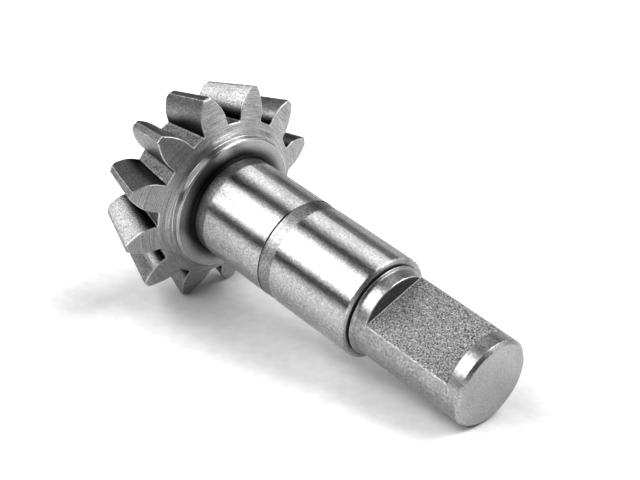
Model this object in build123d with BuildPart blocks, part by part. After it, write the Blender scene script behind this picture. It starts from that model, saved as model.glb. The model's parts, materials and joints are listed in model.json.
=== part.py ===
from build123d import *
from math import acos, asin, atan, cos, degrees, hypot, pi, radians, sin, tan
import os

# A straight bevel pinion made in one piece with its shaft, in millimetres, +Z up.
# It lies at rest on two neighbouring teeth and on the rim of its tail, gear towards -X.
# Stations are measured along the shaft from the tail's end face towards the gear.

os.makedirs("parts", exist_ok=True)

# Teeth, with the module taken at the heel, the large end
tooth_count = 12
tooth_module = 1.25
pressure_angle = 20.0
profile_shift = 0.25
pitch_angle = 16.5
face_width = 5.0
root_clearance = 0.105
root_fillet = 0.15
heel_tip_break = 0.1
heel_edge_break = 0.06
toe_tip_break = 0.24

# Toe: width of the conical face inside the tooth roots, round the flat floor of the dish
toe_rim = 1.37

# Hub: widths outwards from the boss, and heights along the shaft
boss_length = 0.608
boss_edge_break = 0.12
ledge_width = 0.17
ledge_rise = 0.1
ledge_slope_width = 0.32
heel_land = 0.56

# Tail, from its end face, with the drive flat between the collar and the root
tail_radius = 3.35
end_chamfer = 0.24
collar_length = 1.3
flat_length = 7.51
flat_cut = 1.4
flat_angle = -24.5
flat_edge_break = 0.05
tail_root_length = 1.01

# Ring cone and relief groove between the tail and the first journal
ring_step = 0.2
ring_length = 0.18
relief_depth = 0.2
relief_width = 0.12

# Journals, with the unground bands and the fine line beside them
journal_radius = 4.0
lead_depth = 0.24
lead_length = 0.2
tail_journal_length = 7.44
band_length = 1.19
unground_depth = 0.03
line_width = 0.1
line_depth = 0.05
gear_journal_length = 6.15
neck_length = 1.22
neck_break = 0.14

# Cutter for the tooth spaces: how far it runs past the teeth along and outwards
cutter_run = 0.8
cutter_lap = 0.1
cutter_height = 1.5
flank_points = 4

# Stations along the shaft
flat_end = collar_length + flat_length
tail_end = flat_end + tail_root_length
ring_end = tail_end + ring_length
shoulder_station = ring_end + relief_width
journal_start = shoulder_station + lead_length
band_start = journal_start + tail_journal_length
line_start = band_start + band_length
line_end = line_start + line_width
journal_end = line_end + gear_journal_length
hub_face = journal_end + neck_length

# Teeth at the heel, then the hub inside their roots
slope = tan(radians(pitch_angle))
pitch_radius = tooth_module * tooth_count / 2
addendum = tooth_module * (1 + profile_shift)
dedendum = tooth_module * (1 - profile_shift) + root_clearance
heel_tip_radius = pitch_radius + addendum * cos(radians(pitch_angle))
heel_root_radius = pitch_radius - dedendum * cos(radians(pitch_angle))
ledge_foot_radius = heel_root_radius - heel_land
ledge_radius = ledge_foot_radius - ledge_slope_width
hub_radius = ledge_radius - ledge_width
heel_tip_station = hub_face + boss_length + ledge_rise + (heel_tip_radius - hub_radius) * slope


def heel_station(radius):
    """Station of the conical heel face at a radius."""
    return heel_tip_station - (heel_tip_radius - radius) * slope


# Apex of the pitch cone, and the toe, which is the heel drawn in towards it
apex = heel_station(pitch_radius) + pitch_radius / slope
cone_distance = pitch_radius / sin(radians(pitch_angle))
toe_scale = 1 - face_width / cone_distance
toe_tip_radius = heel_tip_radius * toe_scale
dish_radius = heel_root_radius * toe_scale - toe_rim


def toe_station(radius):
    """Station of the conical toe face at a radius."""
    return apex - toe_scale * (apex - heel_station(radius / toe_scale))


# Involute of the equivalent spur gear, laid round the back cone
back_pitch = pitch_radius / cos(radians(pitch_angle))
back_base = back_pitch * cos(radians(pressure_angle))
base_radius = pitch_radius * cos(radians(pressure_angle))
tooth_thickness = tooth_module * (pi / 2 + 2 * profile_shift * tan(radians(pressure_angle)))
pitch_step = 360 / tooth_count


def involute(angle):
    """Involute function of an angle in radians."""
    return tan(angle) - angle


def half_tooth(radius):
    """Angle in degrees from a tooth's middle to its flank at a radius of the heel face."""
    back_radius = radius / cos(radians(pitch_angle))
    roll = acos(min(1.0, back_base / back_radius))
    turn = tooth_thickness / (2 * back_pitch) + involute(radians(pressure_angle)) - involute(roll)
    return degrees(turn / cos(radians(pitch_angle)))


# Rest: the plane under the heel corners of two teeth and the tail's rim
tip_cone = atan(heel_tip_radius / (apex - heel_tip_station))
foot_angle = radians(pitch_step / 2 - half_tooth(heel_tip_radius))
foot_radius = (heel_tip_radius - heel_tip_break * sin(tip_cone)) * cos(foot_angle)
foot_station = heel_tip_station + heel_tip_break * cos(tip_cone)
tilt = atan((foot_radius - tail_radius) / (foot_station - end_chamfer))

# Outer corner of the toe's broken edge
toe_tip_station = toe_station(toe_tip_radius)
corner_radius = toe_tip_radius - toe_tip_break * cos(radians(pitch_angle))
corner_station = toe_tip_station - toe_tip_break * sin(radians(pitch_angle))

# Furthest reach of the gear and of the tail along X, so that the box is centred
corner_angle = radians(pitch_step / 2 - half_tooth(corner_radius / toe_scale))
lean = (sin(tilt) * cos(corner_angle), cos(tilt))
reach_gear = corner_radius * lean[0] + corner_station * lean[1]
reach_tail = (tail_radius - end_chamfer) * sin(tilt)
end_x = (reach_gear + reach_tail) / 2 - reach_tail
end_z = tail_radius * cos(tilt) - end_chamfer * sin(tilt)

# Plane of the tail's end face, with its X straight up across the shaft, and the half profile's plane
up_across = (sin(tilt), 0, cos(tilt))
along_shaft = (-cos(tilt), 0, sin(tilt))
shaft_plane = Plane(origin=(end_x, 0, end_z), x_dir=up_across, z_dir=along_shaft)
profile_plane = Plane(origin=shaft_plane.origin, x_dir=up_across, z_dir=-shaft_plane.y_dir)
shaft_axis = Axis(shaft_plane.origin, shaft_plane.z_dir)

# One tooth space: two similar outlines that draw together towards the apex
outer_radius = heel_tip_radius + cutter_lap
clear_radius = heel_tip_radius + cutter_height
foot_half_angle = degrees(asin(base_radius * sin(radians(half_tooth(base_radius))) / heel_root_radius))
cut_stations = (heel_station(heel_root_radius) - cutter_run, toe_tip_station + cutter_run)


def on_plane(radius, half_angle, station, side):
    """Point of a section plane on the apex ray through a point of the heel face."""
    reach = radius * (apex - station) / (apex - heel_station(radius))
    turn = radians(side * (pitch_step / 2 - half_angle))
    return (reach * cos(turn), reach * sin(turn))


with BuildPart() as space:
    for station in cut_stations:
        with BuildSketch(Plane.XY.offset(station)) as outline:
            with BuildLine():
                ends = []
                for side in (1, -1):
                    radii = [outer_radius + (base_radius - outer_radius) * k / (flank_points - 1)
                             for k in range(flank_points)]
                    flank = [on_plane(r, half_tooth(r), station, side) for r in radii]
                    outer = on_plane(clear_radius, half_tooth(outer_radius), station, side)
                    foot = on_plane(heel_root_radius, foot_half_angle, station, side)
                    Line(outer, flank[0])
                    Spline(*flank)
                    Line(flank[-1], foot)
                    ends.append((outer, foot))
                Line(ends[0][0], ends[1][0])
                floor_middle = on_plane(heel_root_radius, pitch_step / 2, station, 1)
                ThreePointArc(ends[0][1], floor_middle, ends[1][1])
            make_face()
            corners = outline.vertices().sort_by(Axis.X)[0:2]
            fillet(corners, root_fillet * (apex - station) / (apex - heel_tip_station))
    loft(ruled=True)

# Half profile of the turned and ground blank, radius by station
unground_radius = journal_radius - unground_depth
boss_foot = heel_station(hub_radius) - ledge_rise
profile = [
    (0, 0),
    (tail_radius - end_chamfer, 0),
    (tail_radius, end_chamfer),
    (tail_radius, tail_end),
    (tail_radius + ring_step, ring_end),
    (tail_radius - relief_depth, ring_end),
    (tail_radius - relief_depth, shoulder_station),
    (journal_radius - lead_depth, shoulder_station),
    (journal_radius, journal_start),
    (journal_radius, band_start),
    (unground_radius, band_start),
    (unground_radius, line_start),
    (unground_radius - line_depth, (line_start + line_end) / 2),
    (journal_radius, line_end),
    (journal_radius, journal_end),
    (unground_radius, journal_end),
    (unground_radius, hub_face),
    (hub_radius, hub_face),
    (hub_radius, boss_foot),
    (ledge_radius, heel_station(ledge_radius) - ledge_rise),
    (ledge_foot_radius, heel_station(ledge_foot_radius)),
    (heel_tip_radius, heel_tip_station),
    (toe_tip_radius, toe_tip_station),
    (dish_radius, toe_station(dish_radius)),
    (0, toe_station(dish_radius)),
]

# Broken corners, the hub face's two limited by its width
face_share = (hub_radius - unground_radius) / 2
breaks = [
    ((unground_radius, hub_face), min(neck_break, face_share)),
    ((hub_radius, hub_face), min(boss_edge_break, face_share)),
    ((heel_tip_radius, heel_tip_station), heel_tip_break),
    ((toe_tip_radius, toe_tip_station), toe_tip_break),
]

# Two points closer than this are taken as one
near = 0.01


def on_heel(edge):
    """Whether an edge runs on the conical heel face beyond the blank's own circles."""
    for share in (0.02, 0.5, 0.98):
        point = shaft_plane.to_local_coords(edge.position_at(share))
        radius = hypot(point.X, point.Y)
        if abs(point.Z - heel_station(radius)) > near:
            return False
        if not heel_root_radius - heel_tip_break < radius < heel_tip_radius - heel_tip_break / 2:
            return False
    return True


with BuildPart(shaft_plane) as bevel_pinion:
    # Blank
    with BuildSketch(profile_plane) as half:
        with BuildLine():
            Polyline(*profile, close=True)
        make_face()
        for corner, size in breaks:
            chamfer(half.vertices().sort_by_distance((*corner, 0))[0], size)
    revolve(axis=shaft_axis)
    # Tooth spaces, with one straight down at rest
    with PolarLocations(0, tooth_count):
        add(space.part, mode=Mode.SUBTRACT)
    # Broken edges round every tooth and space on the heel face
    heel_edges = [edge for edge in bevel_pinion.edges() if on_heel(edge)]
    chamfer(heel_edges, heel_edge_break)
    # Drive flat, cut by a block larger than the tail
    with BuildSketch(shaft_plane.offset(collar_length)):
        with Locations(Location((0, 0), flat_angle)):
            with Locations((2 * tail_radius - flat_cut, 0)):
                Rectangle(2 * tail_radius, 4 * tail_radius)
    extrude(amount=flat_length, mode=Mode.SUBTRACT)
    sides = [edge for edge in bevel_pinion.edges().filter_by(GeomType.LINE)
             if abs(edge.length - flat_length) < near]
    arcs = [edge for edge in bevel_pinion.edges().filter_by(GeomType.CIRCLE)
            if abs(edge.radius - tail_radius) < near and edge.length < pi * tail_radius]
    chamfer(sides + arcs, flat_edge_break)

bevel_pinion.part.label = "bevel_pinion"
export_step(bevel_pinion.part, "parts/bevel_pinion.step")
print("tilt", degrees(tilt), "end", end_x, end_z, "apex", apex, "toe scale", toe_scale)
print("flat edges", len(sides), len(arcs), "heel edges", len(heel_edges))
print("volume", bevel_pinion.part.volume, "valid", bevel_pinion.part.is_valid)
print(bevel_pinion.part.bounding_box())
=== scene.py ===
import json
from math import cos, pi, radians, sin

import bpy
from mathutils import Matrix, Vector

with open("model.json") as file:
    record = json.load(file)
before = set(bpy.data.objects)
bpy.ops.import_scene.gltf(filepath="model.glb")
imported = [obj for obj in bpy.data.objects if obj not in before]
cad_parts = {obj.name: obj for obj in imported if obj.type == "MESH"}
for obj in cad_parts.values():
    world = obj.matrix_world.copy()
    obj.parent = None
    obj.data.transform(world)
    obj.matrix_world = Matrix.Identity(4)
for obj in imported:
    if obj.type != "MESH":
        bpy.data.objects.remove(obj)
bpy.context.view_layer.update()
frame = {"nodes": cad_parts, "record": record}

# A straight bevel pinion made solid with its shaft, lying on white paper under soft boxes.
# Lengths in this script are millimetres and are turned to metres where Blender takes them.
MM = 0.001
pinion = frame["nodes"]["bevel_pinion"]
tail_end = next(mount for mount in frame["record"]["mounts"] if mount["name"] == "tail_end")

# The middle of the tail's end face, the way from it to the gear, and the turn from upright to that way
end_centre = Vector(tail_end["pos_m"])
along = -Vector(tail_end["axis"])
shaft_turn = -along.angle(Vector((0, 0, 1)))

# Where each surface of the pinion begins, measured along the shaft from the tail's end face
flat_start, flat_end = 1.3, 8.81
journal_start, band_start, line_start, line_end = 10.12, 17.76, 18.95, 19.05
neck_start, corner_start, hub_start = 25.2, 26.18, 26.42
whole_length = 34.0
# Drive flat: distance from the axis, and the way it faces round the shaft
flat_depth, flat_angle = 1.95, -24.5
# Heel face of the gear: a shallow cone, by its station at the axis and its rise a millimetre of radius
heel_station, heel_rise = 25.5137, 0.29621
# Cones on the tips and roots of the teeth, by the apex they meet at and their rise a millimetre
apex_station, tip_rise, root_rise = 53.055, 0.36171, 0.25375
tip_cone, root_cone = tip_rise * apex_station, root_rise * apex_station
# The corners of the gear and its hub lie outside this radius, those of the shaft inside it
gear_radius = 4.3
# How far from its true place a face is still taken as that face
face_slack, heel_slack, tip_slack, root_slack = 0.02, 0.04, 0.05, 0.07

# Finish of each surface: how far its marks stretch the light, and how strong its grain and tool lines are
ground = (1.0, 0.42, 0.03)
satin = (0.1, 0.55, 0.06)
turned = (0.25, 0.45, 0.10)
faced = (0.4, 0.25, 0.10)
shoulder = (0.7, 0.15, 0.05)
hub_turned = (0.75, 0.25, 0.40)
tooth_cut = (0.3, 0.55, 0.05)
forged = (0.0, 0.9, 0.15)
blasted = (0.0, 1.15, 0.0)
# Roughness of plain turned steel, and how much smoother grinding leaves the journals and the hub's face
plain_roughness, journal_smoothing, hub_smoothing = 0.40, 0.07, 0.10

# Painted shade on the low flanks between the teeth, and on the hub's face by the neck, thins out between
# these heights over the roots of the teeth, and these radii on the hub
root_painted_shade_start, root_painted_shade_end = 0.2, 1.1
hub_painted_shade_start, hub_painted_shade_end = 4.1, 5.1

# Edges softened by tumbling: their radius, and how far from a rim of the drive flat they are worn bright
edge_radius, rim_wear = 0.08, 0.1
# Cosine of the lean of a softened corner off the true face, where its wear starts and where it is full
wear_start, wear_full = 0.995, 0.93

# How many grains, pits, tool lines and clouds there are in a millimetre. The real grain and tool lines are
# finer, and are drawn coarse enough to show.
grains, more_grains_on_flat, pits, tool_lines, clouds = 6.5, 2.0, 8.0, 11.0, 0.6
# The fibres of the paper bunch into clouds of about a millimetre and a half
paper_clouds = 0.7
# How much light the darkest clouds on the steel leave
cloud_light = 0.92
# A strong grain stands up more than in proportion
grain_steepness = 2.6
# Only the peaks of the pit pattern are pits, and they are shallow
pit_edge, pit_bottom, pit_depth = 0.52, 0.66, 0.05
# How far a round tool line strays from a true circle
line_drift = 0.06
# Height of a pattern at full strength
mark_height = 0.12
# How much light the hollows of the grain and of the tool lines keep back
grain_shade, line_shade = 3.5, 2.5
# A noise pattern lies around its middle, and mostly between these
middle, pattern_low, pattern_high = 0.5, 0.35, 0.65
# How much the circles on square faces count against the marks round the shaft
circle_share = 0.05

# Camera of the photograph
camera_place = Vector((67.758, -65.646, 50.432))
camera_aim = Vector((0.017, 0, 8.305))
camera_roll = 0.68
focal_length = 80.757
sensor_width = 36.0

# The soft boxes stand round the middle of the pinion, in a dim room
light_distance = 700
pinion_middle = Vector((0, 0, 8))
floor_size = 800
room_light = 0.02
# The photograph is contrasty
contrast_gamma = 0.62

# Numbers of the inputs of a colour mix: how much of the upper colour shows, the lower one and the upper one
amount, below, above = 0, 6, 7


def linear(code):
    """A colour given as sRGB hex, as the linear values that Blender takes."""
    parts = [int(code[k:k + 2], 16) / 255 for k in (0, 2, 4)]
    return (*[p / 12.92 if p <= 0.04045 else ((p + 0.055) / 1.055) ** 2.4 for p in parts], 1.0)


def add(tree, kind, inputs=None, **settings):
    """Add a node with its settings. An input is a value, an output, or a node for its first used output."""
    node = tree.nodes.new("ShaderNode" + kind)
    for name, value in settings.items():
        setattr(node, name, value)
    for name, value in (inputs or {}).items():
        if isinstance(value, bpy.types.Node):
            value = next(output for output in value.outputs if output.enabled)
        if isinstance(value, bpy.types.NodeSocket):
            tree.links.new(value, node.inputs[name])
        else:
            node.inputs[name].default_value = value
    return node


def new_material(name):
    """A material with no nodes yet."""
    material = bpy.data.materials.new(name)
    material.use_nodes = True
    material.node_tree.nodes.clear()
    return material


def place_on_pinion(tree):
    """Where a point lies on the pinion, in millimetres from the middle of the tail's end face."""
    coordinates = add(tree, "TexCoord")
    # X points up, Y across and Z along the shaft
    point = add(tree, "Mapping", {
        "Vector": coordinates.outputs["Object"], "Location": end_centre,
        "Rotation": (0, shaft_turn, 0), "Scale": (MM, MM, MM)}, vector_type="TEXTURE")
    parts = add(tree, "SeparateXYZ", {"Vector": point})
    station = parts.outputs["Z"]
    off_axis = add(tree, "CombineXYZ", {"X": parts.outputs["X"], "Y": parts.outputs["Y"]})
    radius = add(tree, "VectorMath", {0: off_axis}, operation="LENGTH")
    facing = (cos(radians(flat_angle)), sin(radians(flat_angle)), 0)
    return {
        "point": point, "station": station, "radius": radius,
        # Heights the way the drive flat faces, and over the cones of the heel, the tips and the roots
        "flat_height": add(tree, "VectorMath", {0: point, 1: facing}, operation="DOT_PRODUCT"),
        "heel_height": add(tree, "Math", {0: radius, 1: -heel_rise, 2: station}, operation="MULTIPLY_ADD"),
        "tip_height": add(tree, "Math", {0: station, 1: tip_rise, 2: radius}, operation="MULTIPLY_ADD"),
        "root_height": add(tree, "Math", {0: station, 1: root_rise, 2: radius}, operation="MULTIPLY_ADD")}


def surface_masks(tree, place):
    """A mask for each surface that lies over or inside the plain stretches of the shaft."""
    masks = {}
    for name, height, limit in (
            ("teeth", "heel_height", heel_station + heel_slack),
            ("tip_side", "tip_height", tip_cone - tip_slack), ("above_flat", "flat_height", flat_depth)):
        masks[name] = add(tree, "Math", {0: place[height], 1: limit}, operation="GREATER_THAN")
    masks["inside_roots"] = add(tree, "Math", {0: place["root_height"], 1: root_cone - root_slack},
                                operation="LESS_THAN")
    for name, height, true_height, slack in (
            ("root_floor", "root_height", root_cone, root_slack),
            ("flat_plane", "flat_height", flat_depth, face_slack)):
        masks[name] = add(tree, "Math", {0: place[height], 1: true_height, 2: slack}, operation="COMPARE")
    for name, start, end in (
            ("along_flat", flat_start, flat_end), ("end_face", -face_slack, face_slack),
            ("wall_station", flat_end - face_slack, flat_end + face_slack),
            ("fine_line", line_start, line_end), ("hub_corner", corner_start, hub_start - face_slack),
            ("hub_face", hub_start - face_slack, hub_start + face_slack)):
        masks[name] = add(tree, "Math", {0: place["station"], 1: (start + end) / 2, 2: (end - start) / 2},
                          operation="COMPARE")
    for name, first, second in (
            ("tips", "teeth", "tip_side"), ("roots", "teeth", "root_floor"),
            ("toe", "teeth", "inside_roots"), ("drive_flat", "flat_plane", "along_flat"),
            ("flat_wall", "wall_station", "above_flat")):
        masks[name] = add(tree, "Math", {0: masks[first], 1: masks[second]}, operation="MULTIPLY")
    return masks


def finish_and_shade(tree, place, masks):
    """The finish of each surface, and the shade of its steel before marks and wear."""
    length_part = add(tree, "Math", {0: place["station"], 1: whole_length}, operation="DIVIDE")
    finish, shade = [add(tree, "ValToRGB", {"Fac": length_part}) for _ in range(2)]
    for ramp in (finish.color_ramp, shade.color_ramp):
        ramp.interpolation = "CONSTANT"
        ramp.elements.remove(ramp.elements[1])
    # Plain stretches of the shaft, each from its start to the next one's
    for start, values, code in (
            (0, turned, "BABABA"), (journal_start, ground, "D0D0D0"), (band_start, satin, "B0B0B0"),
            (line_start, ground, "D0D0D0"), (neck_start, satin, "ACACAC"),
            (corner_start, hub_turned, "BEBEBE")):
        for ramp, colour in ((finish.color_ramp, (*values, 1)), (shade.color_ramp, linear(code))):
            stop = ramp.elements.new(start / whole_length) if start else ramp.elements[0]
            stop.color = colour

    # Painted shade: darker low on the flanks of the teeth where the next tooth shades them, and on the hub's
    # face next to the neck
    painted_shades = []
    for distance, start, end, dark, unshaded in (
            (place["root_height"], root_cone + root_painted_shade_start, root_cone + root_painted_shade_end, "141414",
             "A8A8A8"),
            (place["radius"], hub_painted_shade_start, hub_painted_shade_end, "545454", "BCBCBC")):
        clear = add(tree, "MapRange", {"Value": distance, "From Min": start, "From Max": end},
                    interpolation_type="SMOOTHSTEP")
        painted_shades.append(add(tree, "Mix", {amount: clear, below: linear(dark), above: linear(unshaded)},
                          data_type="RGBA"))
    flank_painted_shade, hub_face_painted_shade = painted_shades

    # Surfaces laid over the plain stretches, the last on top
    for name, values, colour in (
            ("teeth", tooth_cut, flank_painted_shade), ("tips", forged, linear("A4A4A4")),
            ("roots", forged, linear("A4A4A4")), ("toe", hub_turned, linear("BEBEBE")),
            # The flat's end wall below is painted darker: painted shade on that wall
            ("drive_flat", blasted, linear("C4C4C4")), ("flat_wall", turned, linear("909090")),
            # The fine line below is painted dark: painted shade in its narrow groove
            ("end_face", faced, linear("C2C2C2")), ("fine_line", ground, linear("888888")),
            # The hub's corner below is painted dark as painted shade in the crease by the neck, and the
            # hub's face takes painted shade next to the neck
            ("hub_corner", satin, linear("3C3C3C")), ("hub_face", shoulder, hub_face_painted_shade)):
        finish = add(tree, "Mix", {amount: masks[name], below: finish, above: (*values, 1)},
                     data_type="RGBA")
        shade = add(tree, "Mix", {amount: masks[name], below: shade, above: colour}, data_type="RGBA")
    return finish, shade


def worn_corners(tree, place, masks, soft_edge):
    """Corners of the gear, the hub and the drive flat, which handling wears bright and smooth."""
    true_face = add(tree, "NewGeometry")
    lean = add(tree, "VectorMath", {0: soft_edge, 1: true_face.outputs["Normal"]}, operation="DOT_PRODUCT")
    corner = add(tree, "MapRange", {"Value": lean, "From Min": wear_start, "From Max": wear_full})
    gear = add(tree, "Math", {0: place["radius"], 1: gear_radius}, operation="GREATER_THAN")
    near_plane = add(tree, "Math", {0: place["flat_height"], 1: flat_depth, 2: rim_wear},
                     operation="COMPARE")
    flat_rim = add(tree, "Math", {0: near_plane, 1: masks["along_flat"]}, operation="MULTIPLY")
    wall_rim = add(tree, "Math", {0: place["station"], 1: flat_end, 2: rim_wear}, operation="COMPARE")
    open_to_wear = add(tree, "Math", {0: gear, 1: flat_rim}, operation="MAXIMUM")
    open_to_wear = add(tree, "Math", {0: open_to_wear, 1: wall_rim}, operation="MAXIMUM")
    return add(tree, "Math", {0: corner, 1: open_to_wear}, operation="MULTIPLY")


def grain_and_lines(tree, place, masks, grain_part, line_part):
    """The height of the grain, pits and tool lines, and how much light they leave."""
    grain_scale = add(tree, "Math", {0: masks["drive_flat"], 1: more_grains_on_flat, 2: grains},
                      operation="MULTIPLY_ADD")
    grain = add(tree, "TexNoise", {"Vector": place["point"], "Scale": grain_scale, "Detail": 3.0,
                                   "Roughness": 0.7})
    steepness = add(tree, "Math", {0: grain_part, 1: grain_steepness}, operation="POWER")
    height = add(tree, "Math", {0: grain, 1: steepness}, operation="MULTIPLY")

    # Scattered small pits, about 0.1 mm across, that the tools left
    specks = add(tree, "TexNoise", {"Vector": place["point"], "Scale": pits, "Detail": 2.0,
                                    "Roughness": 0.6})
    pitted = add(tree, "MapRange", {"Value": specks, "From Min": pit_edge, "From Max": pit_bottom})
    pitted = add(tree, "Math", {0: pitted, 1: grain_part}, operation="MULTIPLY")
    height = add(tree, "Math", {0: pitted, 1: -pit_depth, 2: height}, operation="MULTIPLY_ADD")

    # Tool lines: rings round the shaft, and circles on the faces
    ring = add(tree, "CombineXYZ", {"X": place["radius"], "Y": place["station"]})
    ring = add(tree, "VectorMath", {0: place["point"], 1: (line_drift, line_drift, 0), 2: ring},
               operation="MULTIPLY_ADD")
    lines = add(tree, "TexNoise", {"Vector": ring, "Scale": tool_lines, "Detail": 2.0, "Roughness": 0.6})
    height = add(tree, "Math", {0: lines, 1: line_part, 2: height}, operation="MULTIPLY_ADD")

    # Handling and heat treatment leave faint clouds a few millimetres across
    cloud = add(tree, "TexNoise", {"Vector": place["point"], "Scale": clouds, "Detail": 4.0})
    light = add(tree, "MapRange", {"Value": cloud, "From Min": pattern_low, "From Max": pattern_high,
                                   "To Min": cloud_light, "To Max": 1.0})
    # The hollows of the grain and of the tool lines give back less light than their tops
    for pattern, share, depth in ((grain, grain_part, grain_shade), (lines, line_part, line_shade)):
        hollow = add(tree, "Math", {0: pattern, 1: middle}, operation="SUBTRACT")
        hollow = add(tree, "Math", {0: hollow, 1: share}, operation="MULTIPLY")
        light = add(tree, "Math", {0: hollow, 1: depth, 2: light}, operation="MULTIPLY_ADD")
    return height, light


def mark_direction(tree):
    """The way that tool marks run: round the shaft and from tip to root on the teeth, so that light spreads
    along the shaft and stays sharp across it. On the faces square to the shaft they are circles."""
    coordinates = add(tree, "TexCoord")
    true_face = add(tree, "NewGeometry")
    from_centre = add(tree, "VectorMath", {0: coordinates.outputs["Object"], 1: end_centre},
                      operation="SUBTRACT")
    around = add(tree, "VectorMath", {0: along, 1: from_centre}, operation="CROSS_PRODUCT")
    around = add(tree, "VectorMath", {0: around}, operation="NORMALIZE")
    across = add(tree, "VectorMath", {0: along, 1: true_face.outputs["Normal"]}, operation="CROSS_PRODUCT")
    marks = add(tree, "VectorMath", {0: around, 1: [circle_share] * 3, 2: across}, operation="MULTIPLY_ADD")
    return add(tree, "VectorMath", {0: marks}, operation="NORMALIZE")


def machined_steel():
    """Case-hardening steel as each tool left it: ground journals, turned tail and hub, cut teeth, blasted
    flat. To the eye it is grey metal with bright streaks along the ground shaft and a dull grain."""
    material = new_material("machined_case_hardening_steel")
    tree = material.node_tree
    place = place_on_pinion(tree)
    masks = surface_masks(tree, place)
    finish, shade = finish_and_shade(tree, place, masks)
    stretch, grain_part, line_part = add(tree, "SeparateColor", {"Color": finish}).outputs
    roughness = add(tree, "Math", {0: stretch, 1: -journal_smoothing, 2: plain_roughness},
                    operation="MULTIPLY_ADD")
    roughness = add(tree, "Math", {0: masks["hub_face"], 1: -hub_smoothing, 2: roughness},
                    operation="MULTIPLY_ADD")

    soft_edge = add(tree, "Bevel", {"Radius": edge_radius * MM}, samples=8)
    worn = worn_corners(tree, place, masks, soft_edge)
    shade = add(tree, "Mix", {amount: worn, below: shade, above: linear("FFFFFF")}, data_type="RGBA")
    unworn = add(tree, "Math", {0: 1.0, 1: worn}, operation="SUBTRACT")
    grain_part = add(tree, "Math", {0: grain_part, 1: unworn}, operation="MULTIPLY")

    height, light = grain_and_lines(tree, place, masks, grain_part, line_part)
    surface = add(tree, "Bump", {"Height": height, "Distance": mark_height * MM, "Normal": soft_edge})
    colour = add(tree, "Mix", {amount: 1.0, below: shade, above: light}, data_type="RGBA",
                 blend_type="MULTIPLY")
    # A quarter turn, because light spreads across the marks
    shader = add(tree, "BsdfPrincipled", {
        "Base Color": colour, "Metallic": 1.0, "Roughness": roughness, "Anisotropic": stretch,
        "Anisotropic Rotation": 0.25, "Tangent": mark_direction(tree), "Normal": surface})
    add(tree, "OutputMaterial", {"Surface": shader})
    return material


def white_paper():
    """Matt white paper: near white with no gloss, and faintly clouded where its fibres lie thicker."""
    material = new_material("matt_white_paper")
    tree = material.node_tree
    coordinates = add(tree, "TexCoord")
    fibres = add(tree, "TexNoise", {"Vector": coordinates.outputs["Object"], "Scale": paper_clouds / MM,
                                    "Detail": 5.0, "Roughness": 0.7})
    thickness = add(tree, "MapRange", {"Value": fibres, "From Min": pattern_low, "From Max": pattern_high})
    shade = add(tree, "Mix", {amount: thickness, below: linear("F2F2F2"), above: linear("F9F9F9")},
                data_type="RGBA")
    shader = add(tree, "BsdfPrincipled", {"Base Color": shade, "Roughness": 0.9})
    add(tree, "OutputMaterial", {"Surface": shader})
    return material


def soft_box(name, heading, elevation, width, height, brightness):
    """A soft box that looks at the pinion; heading from +X towards +Y, as seen from the pinion."""
    light = bpy.data.lights.new(name, "AREA")
    light.shape = "RECTANGLE"
    light.size = width * MM
    light.size_y = height * MM
    # An area light's power is its brightness times pi and its area
    light.energy = brightness * pi * light.size * light.size_y
    lamp = bpy.data.objects.new(name, light)
    bpy.context.scene.collection.objects.link(lamp)
    turn, rise = radians(heading), radians(elevation)
    away = Vector((cos(turn) * cos(rise), sin(turn) * cos(rise), sin(rise)))
    lamp.location = (pinion_middle + away * light_distance) * MM
    lamp.rotation_mode = "QUATERNION"
    lamp.rotation_quaternion = (-away).to_track_quat("-Z", "Y")


# Pinion
pinion.data.materials.clear()
pinion.data.materials.append(machined_steel())

# Floor
bpy.ops.object.select_all(action="DESELECT")
bpy.ops.mesh.primitive_plane_add(size=floor_size * MM)
floor = bpy.context.object
floor.name = "floor"
floor.data.materials.append(white_paper())

# Lights: two large boxes leave a dark gap over the shaft, and three weak ones fill the shade
soft_box("left_soft_box", -127, 42, 1000, 600, 3.4)
soft_box("right_soft_box", 47, 53, 620, 400, 5.6)
soft_box("low_right_soft_box", 70, 20, 1600, 320, 1.2)
soft_box("back_soft_box", 148, 54, 240, 240, 2.6)
soft_box("front_soft_box", -55, 54, 430, 240, 1.4)

world = bpy.data.worlds.new("dim_room")
world.use_nodes = True
world.node_tree.nodes["Background"].inputs["Color"].default_value = (*[room_light] * 3, 1)
bpy.context.scene.world = world

# Camera
lens = bpy.data.cameras.new("camera")
lens.lens = focal_length
lens.sensor_width = sensor_width
lens.clip_start = 1 * MM
camera = bpy.data.objects.new("camera", lens)
bpy.context.scene.collection.objects.link(camera)
camera.location = camera_place * MM
look = (camera_aim - camera_place).to_track_quat("-Z", "Y").to_matrix()
camera.rotation_mode = "QUATERNION"
camera.rotation_quaternion = (look @ Matrix.Rotation(radians(camera_roll), 3, "Z")).to_quaternion()
bpy.context.scene.camera = camera
view = bpy.context.scene.view_settings
view.view_transform = "Standard"
view.gamma = contrast_gamma
